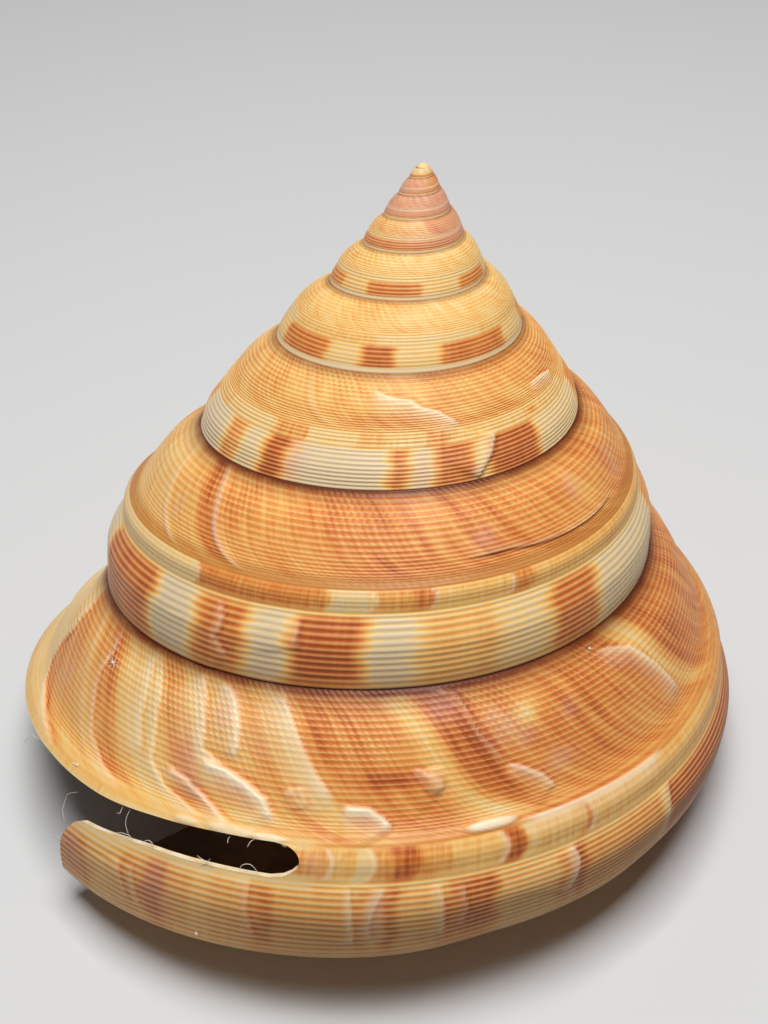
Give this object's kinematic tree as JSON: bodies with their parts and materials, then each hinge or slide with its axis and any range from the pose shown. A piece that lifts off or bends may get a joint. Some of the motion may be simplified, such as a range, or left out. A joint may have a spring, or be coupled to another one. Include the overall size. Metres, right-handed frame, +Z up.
{
  "type": "slit shell",
  "caption": "Empty top-shaped sea snail shell with stepped whorls, a raised band, a long open slit in the outer lip and a wide mouth under it, lying on its base.",
  "frame": {"origin": "middle of the footprint of the shell as it lies on its base", "axes": "+Z up from the surface it lies on, -Y towards the front with the slit at the left, -X towards the mouth"},
  "size_m": [0.1018, 0.0984, 0.0818],
  "materials": {
    "shell": "hard satin chalk with a fine spiral grain, cream to orange with brown blocks, pearly inside the mouth"
  },
  "bodies": {
    "root": {"shell": "shell"}
  },
  "joints": []
}
